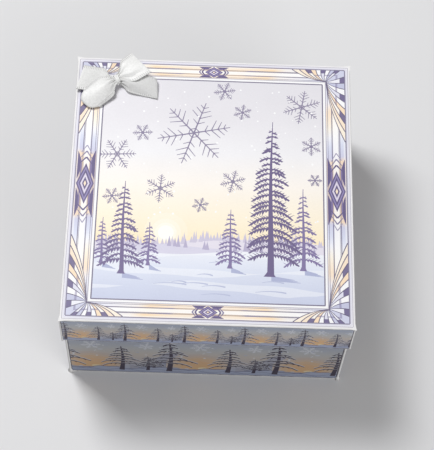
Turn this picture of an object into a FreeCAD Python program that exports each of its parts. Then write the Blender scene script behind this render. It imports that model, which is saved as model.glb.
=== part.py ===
import FreeCAD, Part
import math
import os
import Sketcher

# A near-square gift box of folded card: a base tray, a lid that lifts off and a ribbon bow on it.
# Millimetres, +Z up. The origin is on the ground under the middle of the base.

Vector = FreeCAD.Vector

SIZES = {
    # the card and how it is folded
    "card": 0.35,
    "panel_fold": 0.35,
    "upright_fold": 0.45,
    "bare_fold": 0.7,
    "fold_end": 0.9,
    "tab_width": 12,
    "tab_slope": 3,
    "tab_drop": 0.8,
    # the base tray
    "base_width": 96.1,
    "base_depth": 101.1,
    "base_height": 47.4,
    "base_ear": 0.45,
    # the lid and its fit over the base
    "lid_skirt": 17,
    "lid_gap": 0.25,
    "lid_seat": 0.25,
    "lid_ear": 0.3,
    "ear_root": 2,
    # the ribbon, flat and gathered
    "ribbon_width": 10,
    "ribbon_sheet": 0.2,
    "gather_width": 2.6,
    "gather_reach": 4.2,
    "layer_gap": 0.1,
    # how far the bow's knot is from the lid's left and back edges, and which way it lies
    "bow_from_left": 14.4,
    "bow_from_back": 10.1,
    "knot_angle": 25,
    "knot_width": 1.5,
    # the two cut ends of the ribbon
    "left_tail_angle": 178,
    "left_tail_reach": 13.1,
    "left_tail_rise": 1,
    "left_tail_slant": 1.8,
    "right_tail_angle": 35,
    "right_tail_reach": 10.4,
    "right_tail_rise": 4.4,
    "right_tail_slant": 2.1,
    # the two loops
    "left_loop_angle": 223.5,
    "left_loop_reach": 13.8,
    "left_loop_width": 8.6,
    "left_loop_low": 0.9,
    "left_loop_end": 2.1,
    "left_loop_crown": 1.1,
    "left_loop_twist_angle": 8,
    "right_loop_angle": -11.5,
    "right_loop_reach": 14.9,
    "right_loop_width": 7.3,
    "right_loop_low": 0.3,
    "right_loop_end": 1.9,
    "right_loop_crown": 0.8,
    "right_loop_twist_angle": 9,
}

# what follows from those sizes
LID_WIDTH = "(sizes.base_width + 4 * sizes.card + 2 * sizes.lid_gap)"
LID_DEPTH = "(sizes.base_depth + 4 * sizes.card + 2 * sizes.lid_gap)"
TOTAL_HEIGHT = "(sizes.base_height + sizes.lid_seat + sizes.card)"
GATHER_SHEET = "(sizes.ribbon_sheet * sizes.ribbon_width / sizes.gather_width)"
KNOT_HEIGHT = f"(2 * sizes.ribbon_sheet + 3 * {GATHER_SHEET} + 4 * sizes.layer_gap)"
KNOT_SPAN = "(sizes.gather_width + 2 * sizes.layer_gap + 2 * sizes.ribbon_sheet)"

# shares of a tail's or a loop's reach at which the ribbon has a section
TAIL_SHARES = (0.18, 0.36, 0.56, 0.78, 1.0)
LOOP_SHARES = (0.16, 0.34, 0.54, 0.76, 1.0)
TURN_ANGLES = (-72, -48, -24, 0, 24, 48, 72)


def make_sheet(doc):
    """The spreadsheet of driving dimensions, one named cell a row."""
    sheet = doc.addObject("Spreadsheet::Sheet", "sizes")
    for row, (name, number) in enumerate(SIZES.items(), start=1):
        sheet.set(f"A{row}", name)
        sheet.set(f"B{row}", str(number))
        sheet.setAlias(f"B{row}", name)
    doc.recompute()
    return sheet


def value(doc, expression):
    """What an expression of the sheet's names comes to, in millimetres or degrees."""
    return float(doc.sizes.evalExpression(expression))


def size(doc, name):
    """One named size."""
    return value(doc, f"sizes.{name}")


def new_body(doc, label):
    body = doc.addObject("PartDesign::Body", label)
    body.Label = label
    return body


def polygon_sketch(body, name, plane, outlines, lift):
    """A sketch of closed outlines, each corner a pair of expressions, on a plane raised by lift."""
    doc = body.Document
    sketch = body.newObject("Sketcher::SketchObject", name)
    origin_plane = next(item for item in body.Origin.OriginFeatures if item.Role == plane)
    sketch.AttachmentSupport = [(origin_plane, "")]
    sketch.MapMode = "FlatFace"
    sketch.setExpression("AttachmentOffset.Base.z", lift)
    for corners in outlines:
        first = sketch.GeometryCount
        points = [Vector(value(doc, across), value(doc, up), 0) for across, up in corners]
        for start, end in zip(points, points[1:] + points[:1]):
            sketch.addGeometry(Part.LineSegment(start, end))
        for index, (across, up) in enumerate(corners):
            line = first + index
            following = first + (index + 1) % len(corners)
            sketch.addConstraint(Sketcher.Constraint("Coincident", line, 2, following, 1))
            for kind, place, start in (
                ("DistanceX", across, points[index].x),
                ("DistanceY", up, points[index].y),
            ):
                number = sketch.addConstraint(Sketcher.Constraint(kind, -1, 1, line, 1, start))
                sketch.setExpression(f"Constraints[{number}]", place)
    return sketch


def rectangle(left, right, low, top):
    """The corners of a rectangle between four expressions."""
    return [(left, low), (right, low), (right, top), (left, top)]


def pad(body, name, sketch, length, inward=False, both_ways=False):
    feature = body.newObject("PartDesign::Pad", name)
    feature.Profile = sketch
    feature.Reversed = inward
    feature.setExpression("Length", length)
    if both_ways:
        feature.SideType = "Symmetric"
    body.Document.recompute()
    return feature


def pocket(body, name, sketch, length, upward=False):
    """A cut that has to take material away."""
    before = body.Shape.Volume
    feature = body.newObject("PartDesign::Pocket", name)
    feature.Profile = sketch
    feature.Reversed = upward
    feature.setExpression("Length", length)
    body.Document.recompute()
    if feature.Shape.Volume >= before:
        raise ValueError(f"{name} takes nothing away from {body.Label}")
    return feature


def mirror(body, name, feature, plane):
    """A feature repeated on the other side of an origin plane."""
    copy = body.newObject("PartDesign::Mirrored", name)
    copy.Originals = [feature]
    origin_plane = next(item for item in body.Origin.OriginFeatures if item.Role == plane)
    copy.MirrorPlane = (origin_plane, [""])
    body.Tip = copy
    body.Document.recompute()
    return copy


def fillet(body, name, base, radius, chosen):
    """Rounds the straight edges of base that the test chosen accepts."""
    names = [
        f"Edge{number}"
        for number, edge in enumerate(base.Shape.Edges, start=1)
        if len(edge.Vertexes) == 2 and chosen(edge.Vertexes[0].Point, edge.Vertexes[1].Point)
    ]
    feature = body.newObject("PartDesign::Fillet", name)
    feature.Base = (base, names)
    feature.setExpression("Radius", radius)
    body.Document.recompute()
    return feature


def same(first, second):
    """Whether two lengths agree to the accuracy of the model."""
    return abs(first - second) < 1e-6


def folded_tray(doc, label, width, depth, height, ear):
    """A tray folded from one sheet, open at the top: a panel, four walls and their glue tabs.

    The side walls' ends fold round the upright corners and are glued behind the front and back
    walls, whose raw edges stop short of the corner and leave a strip of the bare fold in view.
    """
    body = new_body(doc, label)
    half_x = f"({width} / 2)"
    half_y = f"({depth} / 2)"
    inner_x = f"({half_x} - sizes.card)"
    inner_y = f"({half_y} - sizes.card)"

    outline = rectangle(f"-{half_x}", half_x, f"-{half_y}", half_y)
    blank_sketch = polygon_sketch(body, "blank_outline", "XY_Plane", [outline], "0")
    blank = pad(body, "blank", blank_sketch, height)

    def along_the_ground(start, end):
        return same(start.z, 0) and same(end.z, 0)

    fillet(body, "panel_folds", blank, "sizes.panel_fold", along_the_ground)

    inside = rectangle(f"-{inner_x}", inner_x, f"-{inner_y}", inner_y)
    hollow_sketch = polygon_sketch(body, "inside_outline", "XY_Plane", [inside], "sizes.card")
    pocket(body, "hollow", hollow_sketch, height, upward=True)

    tab_low = "(sizes.card)"
    tab_top = f"({height} - sizes.tab_drop)"
    tabs = []
    for side in ("-", ""):
        root = f"{side}{inner_x}"
        tip = f"{side}({inner_x} - sizes.tab_width)"
        tabs.append([
            (root, tab_low),
            (tip, f"({tab_low} + sizes.tab_slope)"),
            (tip, f"({tab_top} - sizes.tab_slope)"),
            (root, tab_top),
        ])
    tab_sketch = polygon_sketch(body, "tab_outline", "XZ_Plane", tabs, inner_y)
    front_tabs = pad(body, "front_tabs", tab_sketch, "sizes.card", inward=True)
    mirror(body, "back_tabs", front_tabs, "XZ_Plane")

    raw_edges = []
    for side in ("-", ""):
        beyond = f"{side}({half_x} + sizes.card)"
        raw_edge = f"{side}({half_x} - sizes.bare_fold)"
        raw_edges.append(
            rectangle(beyond, raw_edge, "sizes.fold_end", f"({height} + sizes.card)")
        )
    cut_sketch = polygon_sketch(body, "raw_edge_outline", "XZ_Plane", raw_edges, half_y)
    front_cuts = pocket(body, "front_raw_edges", cut_sketch, "sizes.card")
    back_cuts = mirror(body, "back_raw_edges", front_cuts, "XZ_Plane")

    corner_x = value(doc, half_x)
    corner_y = value(doc, inner_y)

    def up_a_corner(start, end):
        upright = same(start.x, end.x) and same(start.y, end.y)
        return upright and same(abs(start.x), corner_x) and same(abs(start.y), corner_y)

    fillet(body, "upright_folds", back_cuts, "sizes.upright_fold", up_a_corner)

    ears = []
    for x_side, y_side in (("-", "-"), ("", "-"), ("", ""), ("-", "")):
        ears.append([
            (f"{x_side}({half_x} - sizes.ear_root)", f"{y_side}({half_y} - sizes.panel_fold / 4)"),
            (f"{x_side}({half_x} + {ear})", f"{y_side}({half_y} + {ear})"),
            (f"{x_side}({half_x} - sizes.panel_fold / 4)", f"{y_side}({half_y} - sizes.ear_root)"),
            (f"{x_side}({half_x} - sizes.ear_root)", f"{y_side}({half_y} - sizes.ear_root)"),
        ])
    ear_sketch = polygon_sketch(body, "ear_outline", "XY_Plane", ears, "0")
    pad(body, "corner_ears", ear_sketch, "sizes.card")
    return body


def knot_band(doc, place):
    """The narrow turn of ribbon that holds the gathered middle of the bow."""
    body = new_body(doc, "bow_knot")
    half_outer = f"({KNOT_SPAN} / 2)"
    half_inner = f"({half_outer} - sizes.ribbon_sheet)"
    inner_top = f"({KNOT_HEIGHT} - sizes.ribbon_sheet)"
    outer = rectangle(f"-{half_outer}", half_outer, "0", KNOT_HEIGHT)
    inner = rectangle(f"-{half_inner}", half_inner, "sizes.ribbon_sheet", inner_top)
    ring_sketch = polygon_sketch(body, "band_outline", "YZ_Plane", [outer, inner], "0")
    ring = pad(body, "band", ring_sketch, "sizes.knot_width", both_ways=True)

    outer_side = value(doc, half_outer)

    def on_the_outside(start, end):
        lengthwise = same(start.y, end.y) and same(start.z, end.z)
        return lengthwise and same(abs(start.y), outer_side)

    fillet(body, "band_rounding", ring, "2 * sizes.ribbon_sheet", on_the_outside)
    body.Placement = place
    return body


def smooth(share):
    """An even rise from 0 to 1 that starts and ends level."""
    share = min(max(share, 0), 1)
    return share * share * (3 - 2 * share)


class Section:
    """One cross-section of the ribbon, by its middle, the way across it and its two edges."""

    def __init__(self, middle, across, width, sheet, cut=Vector()):
        self.middle = middle
        self.across = Vector(math.cos(math.radians(across)), math.sin(math.radians(across)), 0)
        self.width = width
        self.sheet = sheet
        self.cut = cut

    def wire(self, travel):
        """The thin rectangle of the section, square to the way the ribbon travels."""
        left = self.middle + self.across * (self.width / 2) - self.cut
        right = self.middle - self.across * (self.width / 2) + self.cut
        face = self.across.cross(travel).normalize() * (self.sheet / 2)
        corners = [left + face, right + face, right - face, left - face]
        return Part.makePolygon(corners + corners[:1])


class Bow:
    """The ribbon's path: in from one cut end, round two loops and out to the other end."""

    def __init__(self, doc):
        self.doc = doc
        self.full_width = size(doc, "ribbon_width")
        self.gather_width = size(doc, "gather_width")
        self.gather_reach = size(doc, "gather_reach")
        self.held = size(doc, "knot_width") / 2 + size(doc, "layer_gap")
        self.knot_turn = size(doc, "knot_angle")

    def layer(self, number):
        """The height at which a pass of the ribbon, the lowest being 0, runs through the knot."""
        sheet = value(self.doc, GATHER_SHEET)
        gap = size(self.doc, "layer_gap")
        lowest = size(self.doc, "ribbon_sheet") + gap + sheet / 2
        return lowest + number * (sheet + gap)

    def section(self, turn, along, height, across, width, cut=0):
        """A section at a distance from the knot, narrower and thicker where it is gathered."""
        way = Vector(math.cos(math.radians(turn)), math.sin(math.radians(turn)), 0)
        spread = smooth((along - self.held) / self.gather_reach)
        wide = self.gather_width + (width - self.gather_width) * spread
        middle = way * along + Vector(0, 0, height)
        bend = self.knot_turn + 90 + (across - self.knot_turn - 90) * spread
        sheet = size(self.doc, "ribbon_sheet") * self.full_width / wide
        return Section(middle, bend, wide, sheet, way * (cut / 2))

    def knot(self, number):
        """A pass through the knot, straight from the left side of the band to the right."""
        across = self.knot_turn + 90
        ends = (self.knot_turn + 180, self.knot_turn)
        height = self.layer(number)
        return [self.section(end, self.held, height, across, self.gather_width) for end in ends]

    def tail(self, side, number, across_turn):
        """The sections of one cut end, from the knot outwards."""
        turn = size(self.doc, f"{side}_tail_angle")
        reach = size(self.doc, f"{side}_tail_reach")
        rise = size(self.doc, f"{side}_tail_rise")
        slant = size(self.doc, f"{side}_tail_slant")
        start = self.layer(number)
        sections = []
        for share in TAIL_SHARES:
            height = start + (rise - start) * math.sin(math.radians(90 * share))
            cut = slant * smooth(share)
            across = turn + across_turn
            place = (turn, reach * share, height, across, self.full_width, cut)
            sections.append(self.section(*place))
        return sections

    def loop(self, side, lower, upper, across_turn):
        """The sections of one loop: out along the lid, round the far end and back over the top."""
        turn = size(self.doc, f"{side}_loop_angle")
        reach = size(self.doc, f"{side}_loop_reach")
        width = size(self.doc, f"{side}_loop_width")
        low = size(self.doc, f"{side}_loop_low")
        radius = size(self.doc, f"{side}_loop_end") / 2
        crown = size(self.doc, f"{side}_loop_crown")
        twist = size(self.doc, f"{side}_loop_twist_angle")
        straight = reach - radius
        start = self.layer(lower)
        finish = self.layer(upper)

        def place(along, height):
            across = turn + across_turn + twist * along / reach
            return self.section(turn, along, height, across, width)

        out = [place(straight * f, start + (low - start) * smooth(f)) for f in LOOP_SHARES]
        end = []
        for angle in TURN_ANGLES:
            forward = radius * math.cos(math.radians(angle))
            up = radius * (1 + math.sin(math.radians(angle)))
            end.append(place(straight + forward, low + up))
        back = []
        for f in reversed(LOOP_SHARES):
            height = finish + (low + 2 * radius - finish) * f + crown * math.sin(math.pi * f)
            back.append(place(straight * f, height))
        return out + end + back

    def sections(self):
        """Every section in order, from the left cut end to the right one."""
        path = self.tail("left", 0, -90)[::-1]
        path += self.knot(0)
        path += self.loop("right", 0, 1, 90)
        path += self.knot(1)[::-1]
        path += self.loop("left", 1, 2, -90)
        path += self.knot(2)
        path += self.tail("right", 2, 90)
        return path


def bow_ribbon(doc, place):
    """The bow's one length of ribbon, a thin solid ruled from each section to the next."""
    path = Bow(doc).sections()
    wires = []
    for before, here, after in zip(path[:1] + path, path, path[1:] + path[-1:]):
        wires.append(here.wire(after.middle - before.middle))
    feature = doc.addObject("Part::Feature", "bow_ribbon")
    feature.Label = "bow_ribbon"
    feature.Shape = Part.makeLoft(wires, True, True)
    feature.Placement = place
    return feature


def bow_place(doc):
    """Where the bow stands on the lid: the foot of its knot."""
    across = value(doc, f"sizes.bow_from_left - {LID_WIDTH} / 2")
    back = value(doc, f"{LID_DEPTH} / 2 - sizes.bow_from_back")
    return Vector(across, back, value(doc, TOTAL_HEIGHT))


def check(doc, pieces):
    """Stops if an object of the document has failed or a sub-part isn't a sound solid."""
    for item in doc.Objects:
        if "Invalid" in item.State or "Error" in item.State:
            raise ValueError(f"{item.Label} is {item.State}")
    for piece in pieces:
        if piece.Shape.isNull() or not piece.Shape.isValid() or len(piece.Shape.Solids) != 1:
            raise ValueError(f"{piece.Label} isn't one valid solid")


def main():
    doc = FreeCAD.newDocument("gift_box")
    make_sheet(doc)

    base = folded_tray(
        doc, "base_tray", "sizes.base_width", "sizes.base_depth", "sizes.base_height",
        "sizes.base_ear",
    )
    lid_height = "(sizes.lid_skirt)"
    lid = folded_tray(doc, "lid", LID_WIDTH, LID_DEPTH, lid_height, "sizes.lid_ear")
    lid.Placement = FreeCAD.Placement(Vector(), FreeCAD.Rotation(Vector(1, 0, 0), 180))
    lid.setExpression("Placement.Base.z", TOTAL_HEIGHT)

    foot = bow_place(doc)
    turned = FreeCAD.Rotation(Vector(0, 0, 1), size(doc, "knot_angle"))
    knot = knot_band(doc, FreeCAD.Placement(foot, turned))
    ribbon = bow_ribbon(doc, FreeCAD.Placement(foot, FreeCAD.Rotation()))

    doc.recompute()
    pieces = [base, lid, ribbon, knot]
    check(doc, pieces)
    os.makedirs("parts", exist_ok=True)
    for piece in pieces:
        piece.Shape.exportStep(os.path.join("parts", f"{piece.Label}.step"))
        box = piece.Shape.BoundBox
        print(piece.Label, round(piece.Shape.Volume, 2), box)


main()
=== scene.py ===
"""A square gift box folded from printed card, with a satin bow on its lid.

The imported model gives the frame: two card trays, the bow's ribbon and its knot. The trays keep
their shape and get a card material. Each printed panel is a sheet of flat coloured shapes that
lies on the card. The ribbon and the knot are rebuilt as pleated satin.
Lengths are in millimetres until a mesh is made.
"""

import math
import random

import bpy
import numpy as np
from mathutils import Matrix, Vector
from mathutils.geometry import delaunay_2d_cdt


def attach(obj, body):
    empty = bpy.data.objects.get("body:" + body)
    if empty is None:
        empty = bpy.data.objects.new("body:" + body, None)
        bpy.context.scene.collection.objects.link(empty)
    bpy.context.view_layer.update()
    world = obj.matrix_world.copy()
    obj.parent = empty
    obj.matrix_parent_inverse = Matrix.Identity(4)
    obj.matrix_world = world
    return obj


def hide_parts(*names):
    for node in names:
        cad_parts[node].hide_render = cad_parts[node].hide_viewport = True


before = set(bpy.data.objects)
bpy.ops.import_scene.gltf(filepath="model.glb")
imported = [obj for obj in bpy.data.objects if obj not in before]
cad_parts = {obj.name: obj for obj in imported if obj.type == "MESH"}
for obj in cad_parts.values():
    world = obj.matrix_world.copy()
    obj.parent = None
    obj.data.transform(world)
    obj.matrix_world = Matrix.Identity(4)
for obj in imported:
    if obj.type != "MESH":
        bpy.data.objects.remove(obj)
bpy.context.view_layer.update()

MM = 0.001

# Sizes of the card trays
LID_HALF = (49.0, 51.5)
LID_LOW = 31.0
LID_TOP = 48.0
BASE_HALF = (48.05, 50.55)
BASE_TOP = 47.4

# The print's height over the card, the bare card beside its folds and its worn outline
PRINT_LIFT = 0.03
BARE_FOLD = {"lid": 0.3, "base": 0.6}
TOP_MARGIN = 0.45
WORN_STEP = 1.6
WORN_RANGE = (-0.06, 0.12)
SMALLEST_SHAPE = 0.002

# Colours of the print, as sRGB from 0 to 255
PAPER = (243, 242, 245)
INK = (92, 80, 116)
MAUVE = (132, 120, 164)
LINE = (122, 116, 140)
PALE = (232, 232, 241)
WHITE = (250, 250, 251)


def linear(colour):
    """A colour in sRGB from 0 to 255 as linear numbers from 0 to 1."""
    shares = [c / 255 for c in colour]
    return [c / 12.92 if c < 0.0404 else ((c + 0.055) / 1.055) ** 2.4 for c in shares]


def mix(first, second, share):
    """The colour or place at a share of the way from the first to the second."""
    return tuple(a + (b - a) * share for a, b in zip(first, second))


def shade(stops, at):
    """The colour at a place along a list of (place, colour)."""
    for (low, first), (high, second) in zip(stops, stops[1:]):
        if at <= high:
            return mix(first, second, min(max((at - low) / (high - low), 0), 1))
    return stops[-1][1]


def smooth(share):
    """An even rise from 0 to 1 that starts and ends level."""
    share = np.clip(share, 0, 1)
    return share * share * (3 - 2 * share)


# Printed panels


class Panel:
    """Flat shapes in paint order over a printed panel, in millimetres."""

    def __init__(self, left, low, right, high, seed, strength=1):
        self.rng = random.Random(seed)
        self.strength = strength
        self.outline = self.worn(left, low, right, high)
        self.shapes = []

    def worn(self, left, low, right, high):
        """The panel's outline, a little uneven where the print has worn off the folds."""
        corners = [(left, low), (right, low), (right, high), (left, high)]
        points = []
        for start, end in zip(corners, corners[1:] + corners[:1]):
            level = abs(end[0] - start[0]) > abs(end[1] - start[1])
            steps = max(int(math.dist(start, end) / WORN_STEP), 2)
            for i in range(steps):
                wobble = 0 if i == 0 else self.rng.uniform(*WORN_RANGE)
                x, y = mix(start, end, i / steps)
                points.append((x, y + wobble) if level else (x + wobble, y))
        return points

    def fill(self, points, paint):
        """One closed shape. The paint is a colour or gives one for a place."""
        area = sum(a[0] * b[1] - b[0] * a[1] for a, b in zip(points, points[1:] + points[:1])) / 2
        if abs(area) > SMALLEST_SHAPE:
            self.shapes.append((points if area > 0 else points[::-1], paint))

    def stroke(self, points, start, end, paint):
        """A line whose width runs evenly from its start to its end."""
        left, right = [], []
        for i, (x, y) in enumerate(points):
            before = points[max(i - 1, 0)]
            after = points[min(i + 1, len(points) - 1)]
            way = (after[0] - before[0], after[1] - before[1])
            size = math.hypot(*way) or 1
            half = (start + (end - start) * i / (len(points) - 1)) / 2
            across = (-way[1] / size * half, way[0] / size * half)
            left.append((x + across[0], y + across[1]))
            right.append((x - across[0], y - across[1]))
        self.fill(left + right[::-1], paint)

    def closed(self, points, width, paint):
        """An even line round a closed shape."""
        for start, end in zip(points, points[1:] + points[:1]):
            self.stroke([start, end], width, width, paint)

    def build(self, name, place, body, material):
        """Cuts the shapes into triangles, each in the colour of the uppermost one there."""
        layers = [(self.outline, PAPER)] + self.shapes
        corners, rings = [], []
        for points, _ in layers:
            rings.append(list(range(len(corners), len(corners) + len(points))))
            corners += [Vector(p) for p in points]
        verts, _, faces, _, _, sources = delaunay_2d_cdt(corners, [], rings, 1, 1e-5, True)
        kept, colours = [], []
        for face, source in zip(faces, sources):
            if 0 not in source:
                continue
            paint = layers[max(source)][1]
            kept.append(face)
            for corner in face:
                at = verts[corner]
                tone = linear(paint(at.x, at.y) if callable(paint) else paint)
                colours.append([c * self.strength for c in tone] + [1])
        used = sorted({corner for face in kept for corner in face})
        number = {corner: i for i, corner in enumerate(used)}
        faces = [[number[corner] for corner in face] for face in kept]
        mesh = bpy.data.meshes.new(name)
        mesh.from_pydata([place(verts[corner].x, verts[corner].y) for corner in used], [], faces)
        layer = mesh.color_attributes.new("print", "FLOAT_COLOR", "CORNER")
        layer.data.foreach_set("color", np.array(colours, np.float32).ravel())
        return add_piece(name, mesh, body, material)


def add_item(name, data):
    """A new object in the scene."""
    item = bpy.data.objects.new(name, data)
    bpy.context.scene.collection.objects.link(item)
    return item


def add_piece(name, mesh, body, material):
    """Puts a mesh in the scene as a piece that rides on a body."""
    piece = add_item(name, mesh)
    mesh.materials.append(material)
    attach(piece, body)
    return piece


def arc(start, middle, end, steps=8):
    """Points along the curve from start to end that leans towards middle."""
    points = []
    for i in range(steps + 1):
        f = i / steps
        points.append(tuple(
            (1 - f) ** 2 * a + 2 * f * (1 - f) * b + f * f * c
            for a, b, c in zip(start, middle, end)
        ))
    return points


def circle(x, y, radius, steps=24, start=0):
    """The corners of a round shape, the first one at an angle in degrees."""
    turns = [math.radians(start) + 2 * math.pi * i / steps for i in range(steps)]
    return [(x + radius * math.cos(a), y + radius * math.sin(a)) for a in turns]


# Where each pair of twigs leaves a crystal's arm, and its length, as shares of the arm
CRYSTAL_TWIGS = ((0.3, 0.2), (0.48, 0.34), (0.66, 0.25), (0.82, 0.14))


def crystal(panel, x, y, radius, turn, width, paint):
    """A snow crystal drawn in fine lines."""
    for arm in range(6):
        angle = math.radians(turn + 60 * arm)
        way = (math.cos(angle), math.sin(angle))
        tip = (x + way[0] * radius, y + way[1] * radius)
        panel.stroke([(x, y), tip], width, width * 0.55, paint)
        for share, reach in CRYSTAL_TWIGS:
            root = (x + way[0] * radius * share, y + way[1] * radius * share)
            for lean in (-55, 55):
                side = angle + math.radians(lean)
                end = (root[0] + math.cos(side) * radius * reach,
                       root[1] + math.sin(side) * radius * reach)
                panel.stroke([root, end], width * 0.7, width * 0.4, paint)
    panel.closed(circle(x, y, radius * 0.15, 6, turn), width * 0.6, paint)


def bough(panel, root, reach, side, droop, paint, weight):
    """One bough of a fir: a drooping blade whose lower edge is cut into hanging twigs."""
    rng = panel.rng
    tip = (root[0] + side * reach, root[1] - droop)
    bend = (root[0] + side * reach * 0.5, root[1] + reach * 0.1)
    upper, spine = arc(root, bend, tip, 6), arc(root, bend, tip, 20)
    teeth = max(int(reach / 0.95), 2)
    lower = []
    for k in range(teeth):
        f = 1 - (k + 0.5) / teeth
        at = spine[int(f * 20)]
        size = (0.25 + reach * 0.13) * (0.45 + math.sin(math.pi * f)) * rng.uniform(0.7, 1.25)
        lower.append((at[0] + side * 0.22 * size, at[1] - size * 1.15))
        lower.append((at[0] - side * reach / teeth * 0.5, at[1] - 0.2 - 0.22 * weight))
    panel.fill(upper + lower, paint)
    for k in range(teeth - 1):
        at = spine[int((k + 1) / teeth * 20)]
        size = reach * rng.uniform(0.08, 0.15) + 0.25
        panel.stroke([at, (at[0] + side * size, at[1] + size * 0.55)], 0.26 * weight, 0.1, paint)


def fir(panel, x, foot, height, spread, paint, tiers, weight=1.0):
    """A fir in silhouette, its boughs uneven and thinning towards the top."""
    rng = panel.rng
    lean = rng.uniform(-0.012, 0.012) * height

    def trunk(f):
        return x + lean * f + 0.2 * math.sin(5 * f + x) * weight, foot + height * f

    panel.stroke([trunk(i / 8) for i in range(9)], 1.9 * weight, 0.2, paint)
    panel.fill([(x - 1.7 * weight, foot - 0.3), (x + 1.6 * weight, foot - 0.35),
                (x + 0.6 * weight, foot + 1.6), (x - 0.6 * weight, foot + 1.6)], paint)
    for tier in range(tiers):
        for side in (-1, 1):
            f = 0.13 + 0.84 * (max(tier + rng.uniform(-0.28, 0.28), 0) / tiers) ** 0.94
            reach = spread * (1 - f) ** 0.9 * rng.uniform(0.68, 1.12) + 0.6
            bough(panel, trunk(min(max(f, 0.1), 0.98)), reach, side,
                  reach * rng.uniform(0.3, 0.5), paint, weight)


# The lid's picture

PICTURE = (39.2, 43.5)
HORIZON = -22.5
SUN = (-15.0, HORIZON + 4.6)
SKY = [(0, (252, 233, 196)), (6, (253, 240, 212)), (14, (253, 243, 224)), (24, (251, 245, 238)),
       (36, (241, 240, 243)), (50, (231, 229, 234)), (66, (226, 224, 230))]
SNOW = [(0, (236, 238, 246)), (6, (225, 230, 244)), (13, (211, 217, 236)), (22, (199, 205, 229))]

# Each snow crystal: place, radius and turn
CRYSTALS = ((-6.5, 21.5, 13.0, 12), (-33.0, 12.0, 6.6, 3), (31.5, 33.5, 7.0, 20),
            (-17.5, -1.0, 5.6, 26), (4.0, 39.0, 4.0, 9), (7.5, 2.5, 4.6, 17),
            (-24.5, 21.0, 3.6, 5), (34.8, 17.5, 3.8, 30), (10.5, 30.5, 3.4, 22),
            (-34.0, -4.5, 3.4, 8), (-3.5, -7.0, 3.0, 14), (36.0, 4.0, 2.6, 0))

# Each fir's shadow: foot and the tree's height
SHADOWS = ((20.5, -33.0, 52), (31.8, -30.5, 30), (7.0, -30.4, 22),
           (-29.5, -33.5, 34), (-36.4, -29.8, 19), (-20.6, -30.2, 16))

# Each fir: foot, height, spread, share of dark ink, tiers of boughs and weight of line
FIRS = ((31.8, -30.5, 31, 6.6, 0, 13, 0.75), (7.0, -30.4, 22, 5.6, 0, 11, 0.6),
        (-36.4, -29.8, 17, 3.2, 0, 9, 0.5), (-20.6, -30.2, 16, 4.2, 0, 9, 0.5),
        (-29.5, -33.5, 35, 8.6, 0.35, 15, 0.85), (20.5, -33.0, 60, 12.5, 0.5, 23, 1.25))


def hills(panel, level, swing, phase, low, paint):
    """A rolling skyline across the picture, filled down to a lower level."""
    half = PICTURE[0]
    tops = []
    for i in range(41):
        x = -half + 2 * half * i / 40
        y = level + swing * (math.sin(x * 0.075 + phase) + 0.4 * math.sin(x * 0.19 + 2 * phase))
        tops.append((x, y))
    panel.fill(tops + [(half, low), (-half, low)], paint)
    return tops


def sky(x, y):
    """The sky's colour at a place."""
    return shade(SKY, y - HORIZON)


def snow(x, y):
    """The snow's colour at a place, bluer towards the front."""
    return shade(SNOW, HORIZON - 1.5 - y)


def evening(panel):
    """The sky in narrow bands, and the glow and disc of a low sun."""
    half, top = PICTURE
    bands = 33
    for i in range(bands):
        low = HORIZON - 2 + (top - HORIZON + 2) * i / bands
        high = HORIZON - 2 + (top - HORIZON + 2) * (i + 1) / bands
        panel.fill([(-half, low), (half, low), (half, high), (-half, high)], sky)
    for radius, share in ((7.5, 0.2), (5.2, 0.42), (3.7, 0.66), (2.7, 1.0)):
        panel.fill(circle(*SUN, radius), lambda x, y, s=share: mix(sky(x, y), (255, 254, 248), s))


def far_woods(panel):
    """Two lines of hills with small pointed trees along them."""
    rng = panel.rng
    half, top = PICTURE

    def pointed(x, y, wide, sunk, tall, paint):
        if abs(x) < half - 1:
            panel.fill([(x - wide, y - sunk), (x + wide, y - sunk), (x, y + tall)], paint)

    for x, y in hills(panel, HORIZON + 1.6, 1.3, 0.7, -top, (229, 224, 236))[1:-1]:
        for _ in range(2):
            foot, tall, wide = x + rng.uniform(-1, 1), rng.uniform(1.2, 3.4), rng.uniform(0.45, 0.8)
            pointed(foot, y, wide, 1, tall, (206, 200, 220))
    for x, y in hills(panel, HORIZON - 1.2, 1.0, 2.4, -top, (216, 213, 231))[1:-1]:
        if rng.random() < 0.55:
            foot, tall = x + rng.uniform(-0.8, 0.8), rng.uniform(1.8, 4.4)
            pointed(foot, y, 0.75, 0.6, tall, (184, 177, 205))


def drifts(panel):
    """Waves of snow towards the front, every third one lighter, and short lines in them."""
    rng = panel.rng
    for i in range(9):
        hills(panel, HORIZON - 2.6 - 2.0 * i, 0.75 + 0.08 * i, 1.3 * i, -PICTURE[1],
              lambda x, y, k=i: mix(snow(x, y), (244, 246, 251), 0.5 if k % 3 == 0 else 0))
    for _ in range(9):
        start = (rng.uniform(-36, 30), HORIZON - rng.uniform(4, 19))
        size = rng.uniform(5, 12)
        line = arc(start, (start[0] + size * 0.5, start[1] + 1.0), (start[0] + size, start[1]), 6)
        panel.stroke(line, 0.15, 0.5, (186, 192, 219))


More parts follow.
